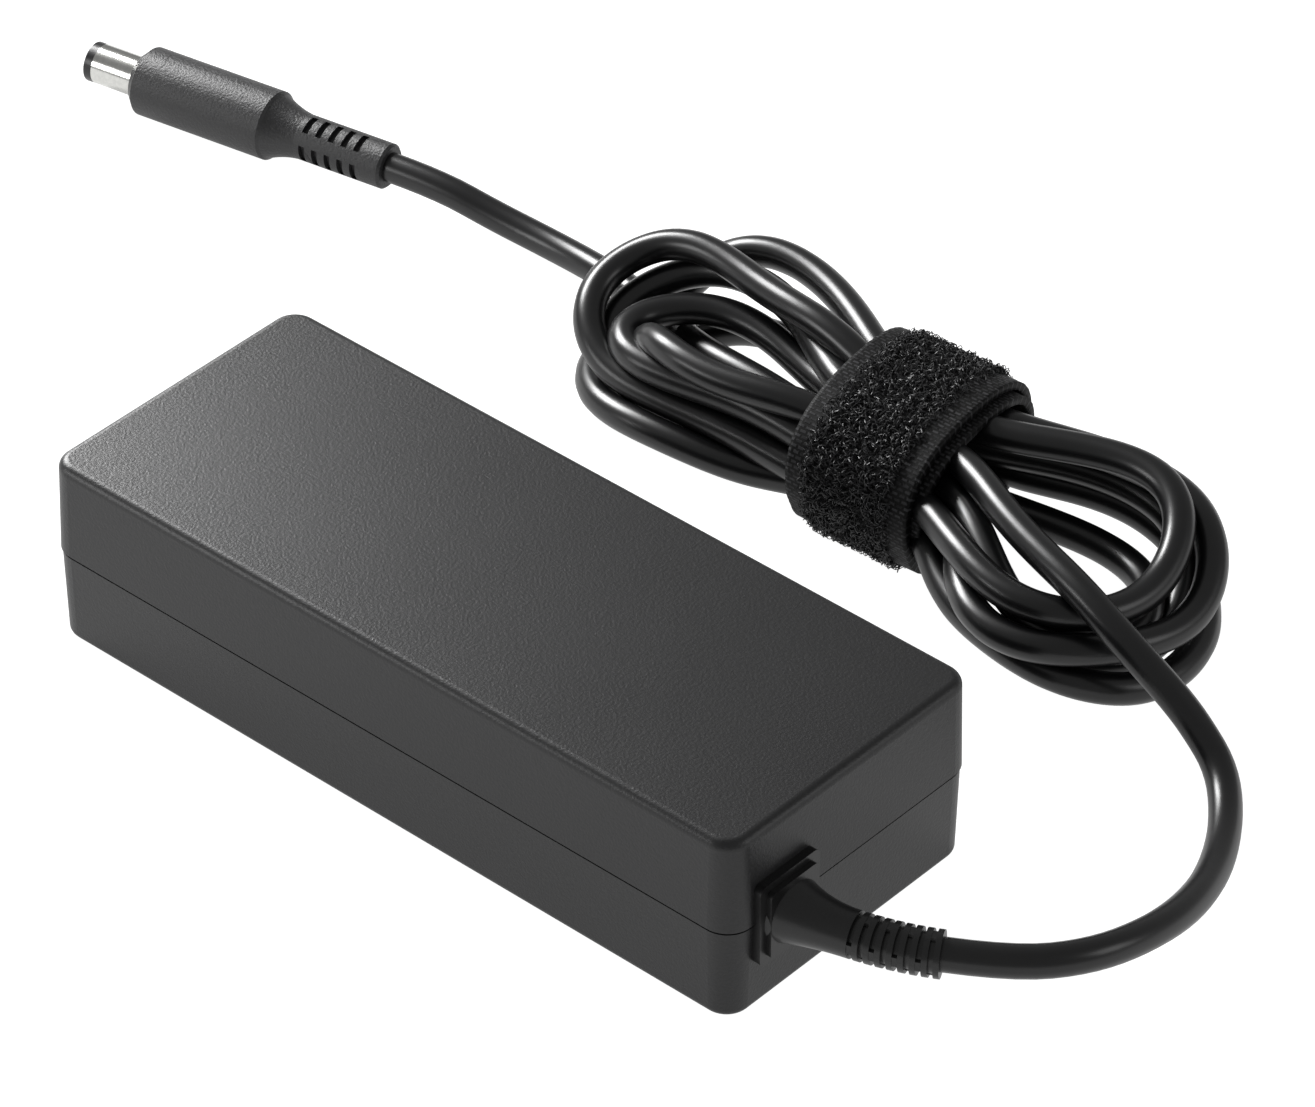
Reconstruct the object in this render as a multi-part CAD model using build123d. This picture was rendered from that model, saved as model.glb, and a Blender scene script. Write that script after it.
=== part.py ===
from build123d import *
import math
import os

# Laptop power adapter: a sealed two-shell brick with its AC inlet, circuit board and components,
# and a free output cord, wound into a tied hank, that ends in a round barrel plug.
# Millimetres. The origin is at the middle of the brick's underside, +X runs along the brick
# towards the cord's end, +Y runs across it towards the hank, and +Z is up.

# --- Case -------------------------------------------------------------------------------------
case_length = 128.0
case_width = 50.5
case_height = 30.5
seam_height = 15.1          # parting line between the two shells
seam_gap = 0.45             # shadow groove along the parting line
lower_inset = 0.2           # the lower shell's rim sits this far inside the upper's
wall = 2.2
roof_thickness = 2.2
floor_thickness = 2.2
upper_draft = 1.48          # degrees, shrinking upwards from the seam
lower_draft = 1.35          # degrees, shrinking downwards from the seam
corner_radius = 4.2         # vertical corners, at the seam
roof_edge_radius = 1.45
floor_edge_radius = 1.2
tongue_height = 2.0         # lap joint: the lower shell's tongue in the upper shell's rebate
tongue_thickness = 0.9
tongue_clearance = 0.1

# --- Rating label, blank ----------------------------------------------------------------------
label_length = 62.0
label_width = 36.0
label_thickness = 0.2
label_recess = 0.3
label_clearance = 0.15

# --- AC inlet, three-pin cloverleaf type ------------------------------------------------------
inlet_height_z = 16.2       # centre of the inlet above the floor
inlet_body_width = 23.0
inlet_body_height = 16.5
inlet_body_depth = 17.5
inlet_recess_depth = 14.0
inlet_front_setback = 0.5   # front face behind the case's end at the seam
inlet_flange = 1.4          # retaining flange, past the body on each side
inlet_flange_thickness = 1.6
inlet_clearance = 0.1
flange_clearance = 0.05     # inner flanges of the inlet and the boot, behind the end walls
pin_radius = 1.18
pin_spacing = 10.0          # line to neutral
earth_pin_rise = 4.0        # earth pin above the line of the other two
lobe_radius = 4.1
pin_length = 10.5           # free length in the recess
pin_tail = 4.0              # length behind the inlet body

# --- Circuit board ----------------------------------------------------------------------------
board_thickness = 1.6
board_underside = 6.0       # above the floor
board_gap = 0.7             # board edge to the case wall
peg_radius = 0.9            # locating pegs on the lower shell's posts
peg_clearance = 0.1
post_radius = 2.4
board_corner_radius = 3.2
post_inset_x = 5.5          # posts in from the board's ends
post_inset_y = 4.0          # and from its sides
shield_thickness = 0.5      # aluminium heat spreaders
shield_gap = 0.35           # spreader to case
spreader_inset = 1.0        # lower spreader, in from the board's edge
sheet_thickness = 0.4       # insulating sheet between the lower spreader and the board
sheet_inset = 0.2
sheet_gap = 0.05
part_gap = 0.3              # between neighbouring inner pieces

# --- Boot: moulded strain relief on the output end --------------------------------------------
boot_y = -14.5
boot_plate_width = 12.0     # across Y
boot_plate_height = 13.7    # along Z
boot_step_inset = 1.2       # second, smaller step of the plate
boot_plate_thickness = 1.1
boot_step_thickness = 0.9
boot_stem_width = 8.0
boot_stem_height = 8.6
boot_stem_clearance = 0.1
boot_anchor = 1.6           # inner flange, past the stem on each side
boot_anchor_thickness = 2.0
boot_length = 23.3          # from the case's end to the cord's exit
boot_heading_start = 2.0    # degrees from +X towards +Y, bent gently by the cord
boot_heading_end = 30.0
boot_cone_length = 11.3
boot_cone_radius = 5.5
boot_rib_radius = 3.35
boot_rib_count = 8
boot_rib_share = 0.55       # part of each pitch that is rib
boot_core_radius = 2.7
boot_bridge_width = 1.5
boot_first_run = 9.5        # straight run of the cord out of the boot

# --- Cord -------------------------------------------------------------------------------------
cord_diameter = 4.8

# --- Plug -------------------------------------------------------------------------------------
plug_grip_radius = 5.6
plug_grip_length = 25.2
plug_grip_edge = 1.3
plug_shoulder_length = 5.3
plug_rim_step = 0.4         # small bevel where the grip ends
plug_shoulder_hollow = 0.62 # how far the hollow shoulder stays outside the neck, half way along
plug_neck_radius = 3.65
plug_neck_length = 15.7
plug_slot_count = 5
plug_slot_width = 1.05
plug_slot_depth = 0.9
plug_slot_first = 1.6       # first slot from the shoulder
plug_slot_pitch = 2.35
plug_slot_turns = (15, 105, 195, 285)  # degrees from the top, round the neck
barrel_radius = 3.25
barrel_bore_radius = 2.5
barrel_exposed = 7.9
barrel_buried = 8.0
barrel_shank_radius = 2.95  # buried part, held by the grip
tip_ring_length = 1.4
lining_thickness = 0.3
plug_base_length = 3.0      # insulator that carries the centre pin
centre_pin_radius = 0.7
centre_pin_recess = 1.2     # tip of the pin behind the mouth
plug_tip = (-156.5, 75.1)   # where the tip lies
plug_heading = 10.2         # degrees from +X, from the tip back to the cord
plug_first_run = 9.0        # straight run of the cord out of the plug

# --- Hank and its tie -------------------------------------------------------------------------
tie_x = 9.8
tie_y = 78.1
hank_heading = 3.0          # degrees from +X towards +Y
tie_width = 21.6            # along the hank
tie_thickness = 3.0         # two layers of hook-and-loop webbing
tie_outer_width = 36.0      # across the hank
tie_outer_height = 22.8
tie_corner_radius = 10.4
tie_tail_length = 10.2      # free end, lying on the floor
tie_tail_reach = 1.0        # of the tail past the band
tie_tail_thickness = 1.6
hank_clearance = 0.1

# Outer shape of the hank on each side of the tie: distance of the section from the tie's
# middle, centre across the hank, width and height. The loops fan out, then close at the tip.
hank_left = [
    (21.0, 3.0, 30.0, 20.4),
    (33.0, 6.5, 40.0, 19.6),
    (45.0, 7.5, 43.0, 18.0),
    (54.0, 7.5, 38.0, 16.5),
    (60.0, 7.5, 29.0, 15.5),
    (64.5, 7.5, 16.0, 14.5),
]
hank_right = [
    (19.0, -2.0, 31.0, 20.4),
    (29.0, -6.0, 38.0, 19.4),
    (39.0, -7.5, 41.0, 17.6),
    (48.0, -7.0, 36.0, 15.8),
    (53.5, -6.5, 27.0, 14.8),
    (56.5, -6.0, 16.0, 14.0),
]
hank_edge_radius = 4.4

# Routes of the free cord, chosen point by point, after a straight run out of the boot or plug.
brick_lead_points = [
    (100.4, 5.0, 14.4),
    (101.8, 15.8, 12.0),
    (100.2, 27.4, 8.8),
    (95.8, 38.8, 5.6),
    (89.6, 49.2, 4.0),
    (83.2, 56.2, 5.2),
    (73.6, 60.4, 6.4),
    (62.4, 63.4, 7.2),
]
plug_lead_points = [
    (-83.3, 88.4, 3.4),
    (-73.5, 89.6, 2.4),
    (-63.5, 88.9, 3.0),
    (-54.0, 86.8, 4.4),
    (-45.6, 83.6, 5.4),
]

# --- Values worked out from the above ---------------------------------------------------------
end_x = case_length / 2
inner_end = end_x - wall
inner_side = case_width / 2 - wall
ceiling = case_height - roof_thickness
board_top = board_underside + board_thickness
board_length = 2 * (inner_end - board_gap)
board_width = 2 * (inner_side - lower_inset - board_gap)
ac_end = -board_length / 2
dc_end = board_length / 2

os.makedirs("parts", exist_ok=True)


def write(name, *solids):
    """Write one node: a solid, or a group of separate solids."""
    shape = solids[0] if len(solids) == 1 else Compound(children=list(solids))
    shape.label = name
    export_step(shape, "parts/" + name + ".step")


def block(x0, x1, y0, y1, z0, z1):
    """A box between two corners."""
    size = (x1 - x0, y1 - y0, z1 - z0)
    return Pos((x0 + x1) / 2, (y0 + y1) / 2, (z0 + z1) / 2) * Box(*size)


def rod(radius, start, direction, length):
    """A cylinder from a point, along a direction."""
    return Plane(origin=start, z_dir=direction) * Cylinder(
        radius, length, align=(Align.CENTER, Align.CENTER, Align.MIN)
    )


def pipe(outer, inner, start, direction, length):
    return rod(outer, start, direction, length) - rod(inner, start, direction, length)


def solid_of(shape):
    """The one solid that a boolean result holds."""
    solids = shape.solids()
    assert len(solids) == 1, "expected one solid, got %d" % len(solids)
    return solids[0]


def lean(height):
    """How far the drafted wall leans in at a height, from its place at the seam."""
    if height > seam_height:
        return math.tan(math.radians(upper_draft)) * (height - seam_height)
    return lower_inset + math.tan(math.radians(lower_draft)) * (seam_height - height)


def behind_wall(z0, z1):
    """Clear distance behind an end wall's inner face for a flange between two heights."""
    return max(lean(z0), lean(z1)) + flange_clearance


# --- Case shells ------------------------------------------------------------------------------
def drafted(inset, height, draft):
    """A rounded rectangle at the seam, grown upwards by height (or downwards, if negative)."""
    base = RectangleRounded(
        case_length - 2 * inset, case_width - 2 * inset, corner_radius - inset * 0.6
    )
    direction = (0, 0, 1) if height > 0 else (0, 0, -1)
    return Pos(0, 0, seam_height) * extrude(base, abs(height), dir=direction, taper=draft)


def upper_envelope():
    body = drafted(0, case_height - seam_height, upper_draft)
    rim = body.faces().sort_by(Axis.Z)[-1].edges()
    return fillet(rim, roof_edge_radius)


def lower_envelope():
    body = drafted(lower_inset, -seam_height, lower_draft)
    rim = body.faces().sort_by(Axis.Z)[0].edges()
    return fillet(rim, floor_edge_radius)


def seam_slab(z0, z1):
    return block(-case_length, case_length, -case_width, case_width, z0, z1)


def inlet_box(grow, x0, x1):
    half_width = inlet_body_width / 2 + grow
    half_height = inlet_body_height / 2 + grow
    return block(
        x0, x1, -half_width, half_width, inlet_height_z - half_height, inlet_height_z + half_height
    )


def stem_box(grow, x0, x1):
    half_width = boot_stem_width / 2 + grow
    half_height = boot_stem_height / 2 + grow
    return block(
        x0, x1, boot_y - half_width, boot_y + half_width,
        seam_height - half_height, seam_height + half_height,
    )


def wall_openings():
    inlet = inlet_box(inlet_clearance, -end_x - 1, -inner_end + wall)
    stem = stem_box(boot_stem_clearance, inner_end - wall, end_x + 1)
    return inlet + stem


def upper_case():
    outer = upper_envelope()
    cavity = drafted(wall, ceiling - seam_height, upper_draft)
    rebate = drafted(wall - tongue_thickness - tongue_clearance, tongue_height, 0)
    shell = outer - cavity - rebate - seam_slab(0, seam_height + seam_gap / 2)
    return solid_of(shell - wall_openings())


def post_centres():
    x = board_length / 2 - post_inset_x
    y = board_width / 2 - post_inset_y
    return [(sx * x, sy * y) for sx in (-1, 1) for sy in (-1, 1)]


def lower_case():
    outer = lower_envelope() - seam_slab(seam_height - seam_gap / 2, case_height)
    cavity = drafted(wall + lower_inset, -(seam_height - floor_thickness), lower_draft)
    tongue_inset = wall - tongue_thickness
    tongue = drafted(tongue_inset, tongue_height, 0) - drafted(wall, tongue_height, 0)
    lip = drafted(tongue_inset, -1.5, 0) - drafted(wall + lower_inset, -1.5, lower_draft)
    shell = outer - cavity + tongue + lip
    for x, y in post_centres():
        shell += rod(post_radius, (x, y, floor_thickness - 0.2), (0, 0, 1),
                     board_underside - floor_thickness + 0.2)
        shell += rod(peg_radius, (x, y, board_underside), (0, 0, 1), board_thickness + 0.8)
    recess = block(
        -label_length / 2 - label_clearance, label_length / 2 + label_clearance,
        -label_width / 2 - label_clearance, label_width / 2 + label_clearance,
        0, label_recess,
    )
    return solid_of(shell - recess - wall_openings())


def rating_label():
    sketch = RectangleRounded(label_length, label_width, 2.0)
    return Pos(0, 0, label_recess - label_thickness) * extrude(sketch, label_thickness)


# --- AC inlet ---------------------------------------------------------------------------------
def pin_places():
    drop = earth_pin_rise / 2
    return {
        "inlet_pin_line": (pin_spacing / 2, inlet_height_z - drop),
        "inlet_pin_neutral": (-pin_spacing / 2, inlet_height_z - drop),
        "inlet_pin_earth": (0, inlet_height_z + drop),
    }


inlet_front = -end_x + inlet_front_setback
inlet_back = inlet_front + inlet_body_depth


def inlet_body():
    body = inlet_box(0, inlet_front, inlet_back)
    half_width = inlet_body_width / 2 + inlet_flange
    z0 = inlet_height_z - inlet_body_height / 2
    z1 = inlet_height_z + inlet_body_height / 2 + inlet_flange
    x0 = -inner_end + behind_wall(z0, z1)
    body += block(x0, x0 + inlet_flange_thickness, -half_width, half_width, z0, z1)
    recess_end = inlet_front + inlet_recess_depth
    places = list(pin_places().values())
    for y, z in places:
        body -= rod(lobe_radius, (inlet_front - 1, y, z), (1, 0, 0), inlet_recess_depth + 1)
        body -= rod(pin_radius, (recess_end - 1, y, z), (1, 0, 0), inlet_body_depth)
    half = pin_spacing / 2
    low = places[0][1] - lobe_radius
    body -= block(inlet_front - 1, recess_end, -half, half, low, inlet_height_z)
    neck = lobe_radius * 0.9
    body -= block(inlet_front - 1, recess_end, -neck, neck, low, inlet_height_z + neck / 2)
    return solid_of(body)


def inlet_pin(y, z):
    start = inlet_front + inlet_recess_depth - pin_length
    length = pin_length + (inlet_body_depth - inlet_recess_depth) + pin_tail
    pin = rod(pin_radius, (start, y, z), (1, 0, 0), length)
    tip = pin.edges().sort_by(Axis.X)[0]
    return fillet(tip, pin_radius * 0.7)


# --- Boot -------------------------------------------------------------------------------------
def boot_path():
    """Centre line of the boot: one gentle arc in the plane of the seam."""
    turn = math.radians(boot_heading_end - boot_heading_start)
    radius = boot_length / turn
    start = math.radians(boot_heading_start)

    def at(distance):
        heading = start + distance / radius
        x = end_x + radius * (math.sin(heading) - math.sin(start))
        y = boot_y - radius * (math.cos(heading) - math.cos(start))
        return (x, y, seam_height), (math.cos(heading), math.sin(heading), 0)

    return at


boot_at = boot_path()
cord_exit, cord_exit_direction = boot_at(boot_length)


def boot_rib(distance, length):
    """A ring whose outer face stands square on the boot's axis."""
    place, (dx, dy, dz) = boot_at(distance)
    return rod(boot_rib_radius, place, (-dx, -dy, -dz), length)


def boot_flare():
    """Concave cone from the plate down to the ribs."""
    steps = 5
    sections = []
    for i in range(steps + 1):
        share = i / steps
        radius = boot_rib_radius + (boot_cone_radius - boot_rib_radius) * (1 - share) ** 2.2
        place, direction = boot_at(share * boot_cone_length)
        sections.append(Plane(origin=place, z_dir=direction) * Circle(radius))
    return loft(sections)


def boot_core():
    start, direction = boot_at(boot_cone_length * 0.6)
    middle = boot_at((boot_cone_length * 0.6 + boot_length) / 2)[0]
    path = ThreePointArc(start, middle, cord_exit)
    return sweep(Plane(origin=start, z_dir=direction) * Circle(boot_core_radius), path)


def boot_ribs():
    """Rings round the core, with two bridges between each pair, turned from gap to gap."""
    pitch = (boot_length - boot_cone_length) / boot_rib_count
    rib = pitch * boot_rib_share
    ribs = []
    for i in range(boot_rib_count):
        ribs.append(boot_rib(boot_length - i * pitch, rib))
        place, direction = boot_at(boot_length - i * pitch - (rib + pitch) / 2)
        width, height = boot_bridge_width, 2 * boot_rib_radius * 0.97
        if i % 2:
            width, height = height, width
        ribs.append(Plane(origin=place, z_dir=direction) * Box(width, height, pitch - rib + 0.1))
    return ribs


def boot_anchor_x():
    """Outer face of the anchor flange, just behind the end wall."""
    reach = boot_stem_height / 2 + boot_anchor
    return inner_end - behind_wall(seam_height - reach, seam_height + reach)


def cable_boot():
    half_width = boot_plate_width / 2
    half_height = boot_plate_height / 2
    inset = boot_step_inset
    step_x = end_x + boot_plate_thickness
    plate = block(
        end_x - 1.5, step_x, boot_y - half_width, boot_y + half_width,
        seam_height - half_height, seam_height + half_height,
    )
    step = block(
        end_x - 1.5, step_x + boot_step_thickness,
        boot_y - half_width + inset, boot_y + half_width - inset,
        seam_height - half_height + inset, seam_height + half_height - inset,
    )
    plate = fillet(plate.edges().filter_by(Axis.X), 1.2)
    step = fillet(step.edges().filter_by(Axis.X), 0.9)
    outside = boot_flare() + boot_core() + boot_ribs() + plate + step
    outside -= upper_envelope() + lower_envelope()
    anchor_x = boot_anchor_x()
    inside = stem_box(0, anchor_x - boot_anchor_thickness, end_x + 0.3)
    inside += stem_box(boot_anchor, anchor_x - boot_anchor_thickness, anchor_x)
    return solid_of(outside + inside)


# --- Circuit board and what stands on it ------------------------------------------------------
def circuit_board():
    outline = RectangleRounded(board_length, board_width, board_corner_radius)
    board = Pos(0, 0, board_underside) * extrude(outline, board_thickness)
    for x, y in post_centres():
        board -= rod(peg_radius + peg_clearance, (x, y, board_underside - 1), (0, 0, 1),
                     board_thickness + 2)
    return solid_of(board)


def flat_sheet(inset, underside, thickness):
    """A sheet under the board, let in from the board's edge and holed round the posts."""
    outline = RectangleRounded(
        board_length - 2 * inset, board_width - 2 * inset, board_corner_radius
    )
    sheet = Pos(0, 0, underside) * extrude(outline, thickness)
    for x, y in post_centres():
        sheet -= rod(post_radius + part_gap, (x, y, 0), (0, 0, 1), board_underside)
    return solid_of(sheet)


def lower_spreader():
    return flat_sheet(spreader_inset, floor_thickness + shield_gap, shield_thickness)


def insulating_sheet():
    underside = floor_thickness + shield_gap + shield_thickness + sheet_gap
    return flat_sheet(sheet_inset, underside, sheet_thickness)


upper_spreader_x0 = -inner_end + inlet_body_depth + 2.0
upper_spreader_x1 = inner_end - 6.0
upper_spreader_skirt = 8.0


def upper_spreader():
    """Aluminium channel under the roof that spreads the heat over the upper shell."""
    top = ceiling - shield_gap
    taper = math.tan(math.radians(upper_draft)) * (top - seam_height)
    half = inner_side - taper - shield_gap - 0.3
    x0, x1 = upper_spreader_x0, upper_spreader_x1
    outer = block(x0, x1, -half, half, top - upper_spreader_skirt, top)
    inner = block(
        x0 - 1, x1 + 1, -half + shield_thickness, half - shield_thickness,
        top - upper_spreader_skirt - 1, top - shield_thickness,
    )
    return solid_of(outer - inner)


# Component sizes
x_capacitor_size = (8.0, 18.0, 14.5)
choke_outer, choke_inner, choke_length = 7.8, 4.2, 7.0
choke_winding = 1.6
bulk_capacitor_radius = 9.0
bulk_capacitor_gap = 2.2              # its length fills the room up to the transformer
pfc_size = (20.0, 17.0, 16.5)
pfc_gap = 3.4                         # inductor to the primary heatsink
transformer_size = (22.0, 27.0, 19.0)
heatsink_thickness = 1.6
primary_heatsink_length = 38.0
secondary_heatsink_length = 14.0
heatsink_height = 17.0
package_size = (10.0, 4.4, 15.0)      # power transistor and rectifier packages
screw_radius = 1.5
output_capacitor_radius, output_capacitor_height = 4.0, 15.0
fuse_radius, fuse_length = 2.4, 8.5
disc_radius, disc_thickness = 4.5, 3.6
bridge_size = (15.0, 4.0, 13.0)
small_package = (6.5, 4.6, 3.4)
chip_size = (5.0, 4.0, 1.6)
wire_radius = 0.9
ac_lead_reach = 2.6
dc_lead_reach = 3.2

# Stations along the board: the mains side is set out from the inlet, the output side from the
# cord's end of the board.
x_capacitor_x = inlet_back + pin_tail + ac_lead_reach + 1.5 + x_capacitor_size[0] / 2
choke_x = x_capacitor_x + x_capacitor_size[0] / 2 + 0.8 + choke_winding + choke_length / 2
middle_x = choke_x + choke_length / 2 + choke_winding + 0.8
transformer_x = dc_end - 34.0
output_x = dc_end - 14.0
bulk_capacitor_length = transformer_x - transformer_size[0] / 2 - bulk_capacitor_gap - middle_x


def standing(size, x, y):
    """A component body that stands on the board, centred on x and y."""
    return block(
        x - size[0] / 2, x + size[0] / 2, y - size[1] / 2, y + size[1] / 2,
        board_top, board_top + size[2],
    )


def softened(body, radius):
    return fillet(body.edges().filter_by(Axis.Z), radius)


def x_capacitor():
    return softened(standing(x_capacitor_size, x_capacitor_x, 0), 0.6)


def choke_axis_height():
    return board_top + choke_outer + choke_winding + part_gap


def common_mode_core():
    start = (choke_x - choke_length / 2, 0, choke_axis_height())
    return pipe(choke_outer, choke_inner, start, (1, 0, 0), choke_length)


def common_mode_windings():
    """Two half windings round the ring core, kept apart top and bottom."""
    grow = choke_winding
    start = (choke_x - choke_length / 2 - grow, 0, choke_axis_height())
    shell = pipe(choke_outer + grow, choke_inner - grow, start, (1, 0, 0),
                 choke_length + 2 * grow) - common_mode_core()
    reach = choke_outer + grow + 1
    z0, z1 = choke_axis_height() - reach, choke_axis_height() + reach
    x0, x1 = choke_x - choke_length, choke_x + choke_length
    spacer = 1.8
    near = shell & block(x0, x1, -reach, -spacer, z0, z1)
    far = shell & block(x0, x1, spacer, reach, z0, z1)
    return solid_of(near), solid_of(far)


def bulk_capacitor():
    y = -board_width / 2 + bulk_capacitor_radius + 1.0
    z = board_top + bulk_capacitor_radius + part_gap
    can = rod(bulk_capacitor_radius, (middle_x, y, z), (1, 0, 0), bulk_capacitor_length)
    groove = pipe(bulk_capacitor_radius + 1, bulk_capacitor_radius - 0.6,
                  (middle_x + 3.0, y, z), (1, 0, 0), 1.2)
    return solid_of(fillet(can.edges().filter_by(GeomType.CIRCLE), 0.8) - groove)


def wound_part(size, x, y, leg):
    """Ferrite frame, bobbin and winding of a transformer or inductor that stands on the board.
    The winding's axis runs along Y, inside the frame."""
    outer = standing(size, x, y)
    sx, sy, sz = size
    z0 = board_top
    window = block(x - sx / 2 + leg, x + sx / 2 - leg, y - sy / 2 - 1, y + sy / 2 + 1,
                   z0 + leg, z0 + sz - leg)
    post = block(x - leg / 2, x + leg / 2, y - sy / 2, y + sy / 2, z0 + leg, z0 + sz - leg)
    core = outer - window + post
    bobbin_wall = 0.8
    gap = 0.1
    sleeve = block(x - leg / 2 - gap - bobbin_wall, x + leg / 2 + gap + bobbin_wall,
                   y - sy / 2 + 1, y + sy / 2 - 1, z0 + leg + gap, z0 + sz - leg - gap)
    hole = block(x - leg / 2 - gap, x + leg / 2 + gap, y - sy, y + sy, z0, z0 + sz)
    bobbin = sleeve - hole
    sides = []
    depth = sx / 2 - leg - leg / 2 - 2 * gap - bobbin_wall - 0.2
    for sign in (-1, 1):
        x0 = x + sign * (leg / 2 + 2 * gap + bobbin_wall)
        x1 = x0 + sign * depth
        sides.append(softened(block(min(x0, x1), max(x0, x1), y - sy / 2 + 2, y + sy / 2 - 2,
                                    z0 + leg + 0.4, z0 + sz - leg - 0.4), 0.5))
    return solid_of(core), bobbin.solids(), sides


transformer_leg = 4.2
pfc_leg = 3.8


def transformer():
    return wound_part(transformer_size, transformer_x, -3.0, transformer_leg)


def pfc_inductor():
    y = heatsink_y() - pfc_gap - pfc_size[1] / 2
    return wound_part(pfc_size, middle_x + pfc_size[0] / 2, y, pfc_leg)


def heatsink_y():
    """Inner face of the primary heatsink, near the board's far edge."""
    return board_width / 2 - 2.0 - heatsink_thickness


def primary_heatsink():
    y = heatsink_y()
    x0 = middle_x
    plate = block(x0, x0 + primary_heatsink_length, y, y + heatsink_thickness,
                  board_top, board_top + heatsink_height)
    return solid_of(plate - screw_hole(switch_x(), y))


def switch_x():
    return middle_x + primary_heatsink_length - package_size[0] / 2 - 2.0


def secondary_heatsink_y():
    return -board_width / 2 + 3.0


def secondary_heatsink():
    y = secondary_heatsink_y()
    x0 = output_x - secondary_heatsink_length / 2
    plate = block(x0, x0 + secondary_heatsink_length, y, y + heatsink_thickness,
                  board_top, board_top + heatsink_height)
    return solid_of(plate - screw_hole(output_x, y))


def screw_height():
    return board_top + 2.5 + package_size[2] - 2.6


def screw_hole(x, y):
    return rod(screw_radius, (x, y - 5, screw_height()), (0, 1, 0), 12)


def power_package(x, face_y, side):
    """Flat power package against a heatsink face; side is where it stands from that face."""
    sx, sy, sz = package_size
    y0, y1 = sorted((face_y, face_y + side * sy))
    z0 = board_top + 2.5
    body = softened(block(x - sx / 2, x + sx / 2, y0, y1, z0, z0 + sz), 0.4)
    body -= screw_hole(x, (y0 + y1) / 2)
    for i in (-1, 0, 1):
        body += block(x + i * 2.54 - 0.4, x + i * 2.54 + 0.4, (y0 + y1) / 2 - 0.3,
                      (y0 + y1) / 2 + 0.3, board_top, z0 + 0.5)
    return solid_of(body)


def screw(x, y_head, direction):
    """Pan-head screw through a package and its heatsink."""
    length = package_size[1] + heatsink_thickness + 1.0
    start = (x, y_head, screw_height())
    shank = rod(screw_radius, start, (0, direction, 0), length)
    head = rod(2.7, start, (0, -direction, 0), 1.8)
    return solid_of(shank + head)


def output_capacitors():
    z = board_top
    cans = []
    for i in range(2):
        x = dc_end - 6.5
        y = board_width / 2 - 9.4 - i * (2 * output_capacitor_radius + 1.0)
        can = rod(output_capacitor_radius, (x, y, z), (0, 0, 1), output_capacitor_height)
        cans.append(fillet(can.edges().filter_by(GeomType.CIRCLE), 0.5))
    return cans


def disc(radius, x, y, direction, thickness, rim):
    """A disc-shaped component that stands on edge, a little above the board."""
    body = rod(radius, (x, y, board_top + radius + 0.8), direction, thickness)
    return fillet(body.edges().filter_by(GeomType.CIRCLE), rim)


def small_parts():
    """Name and body of the small components."""
    y_edge = board_width / 2
    mains_x = inlet_back + 0.8
    return {
        "fuse": rod(fuse_radius, (mains_x + fuse_radius, -y_edge + 4.5, board_top), (0, 0, 1),
                    fuse_length),
        "varistor": disc(disc_radius, mains_x, y_edge - 8.0, (1, 0, 0), disc_thickness, 1.0),
        "thermistor": disc(disc_radius - 0.8, x_capacitor_x, y_edge - 5.5, (1, 0, 0),
                           disc_thickness - 0.6, 0.9),
        "bridge_rectifier": softened(
            standing(bridge_size, choke_x - 3.5, -y_edge + bridge_size[1] / 2 + 1.0), 0.4),
        "optocoupler": standing(small_package, transformer_x + 4.0, y_edge - 7.5),
        "controller_chip": standing(chip_size, transformer_x - 4.0, y_edge - 8.6),
    }


def y_capacitors():
    x = transformer_x + 11.5
    places = (board_width / 2 - 5.3, board_width / 2 - 9.1)
    return [disc(3.0, x, y, (0, 1, 0), 2.2, 0.6) for y in places]


def output_choke():
    centre = (output_x - 3.0, 0.5, board_top + 0.4)
    ring = pipe(4.6, 1.8, centre, (0, 0, 1), 6.0)
    return fillet(ring.edges().filter_by(GeomType.CIRCLE), 0.7)


# --- Wires ------------------------------------------------------------------------------------
def wire(points, radius, bend):
    line = FilletPolyline(*points, radius=bend)
    start = Vector(points[0])
    heading = Vector(points[1]) - start
    return sweep(Plane(origin=start, z_dir=heading) * Circle(radius), line)


def ac_leads():
    """Short tinned wires from the inlet pins down to the board."""
    leads = []
    back = inlet_back + pin_tail
    bend_x = back + ac_lead_reach
    for y, z in pin_places().values():
        points = [(back, y, z), (bend_x, y, z), (bend_x, y, board_top)]
        leads.append(wire(points, wire_radius * 0.7, 1.4))
    return leads


def dc_leads():
    """Two insulated conductors from the boot's anchor down to the board."""
    leads = []
    start = boot_anchor_x() - boot_anchor_thickness
    bend_x = start - dc_lead_reach
    for offset in (-1.6, 1.6):
        y = boot_y + offset
        points = [(start, y, seam_height), (bend_x, y, seam_height), (bend_x, y, board_top)]
        leads.append(wire(points, wire_radius, 1.8))
    return leads


# --- Plug -------------------------------------------------------------------------------------
heading = math.radians(plug_heading)
plug_direction = (math.cos(heading), math.sin(heading), 0)
plug_axis_height = plug_grip_radius
barrel_length = barrel_exposed + barrel_buried
grip_start = tip_ring_length + barrel_exposed
plug_length = grip_start + plug_grip_length + plug_shoulder_length + plug_neck_length


def on_plug(distance):
    """A point on the plug's axis, at a distance from its tip."""
    return (
        plug_tip[0] + distance * plug_direction[0],
        plug_tip[1] + distance * plug_direction[1],
        plug_axis_height,
    )


def along_plug(radius, distance, length):
    return rod(radius, on_plug(distance), plug_direction, length)


def plug_pipe(outer, inner, distance, length):
    return along_plug(outer, distance, length) - along_plug(inner, distance, length)


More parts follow.
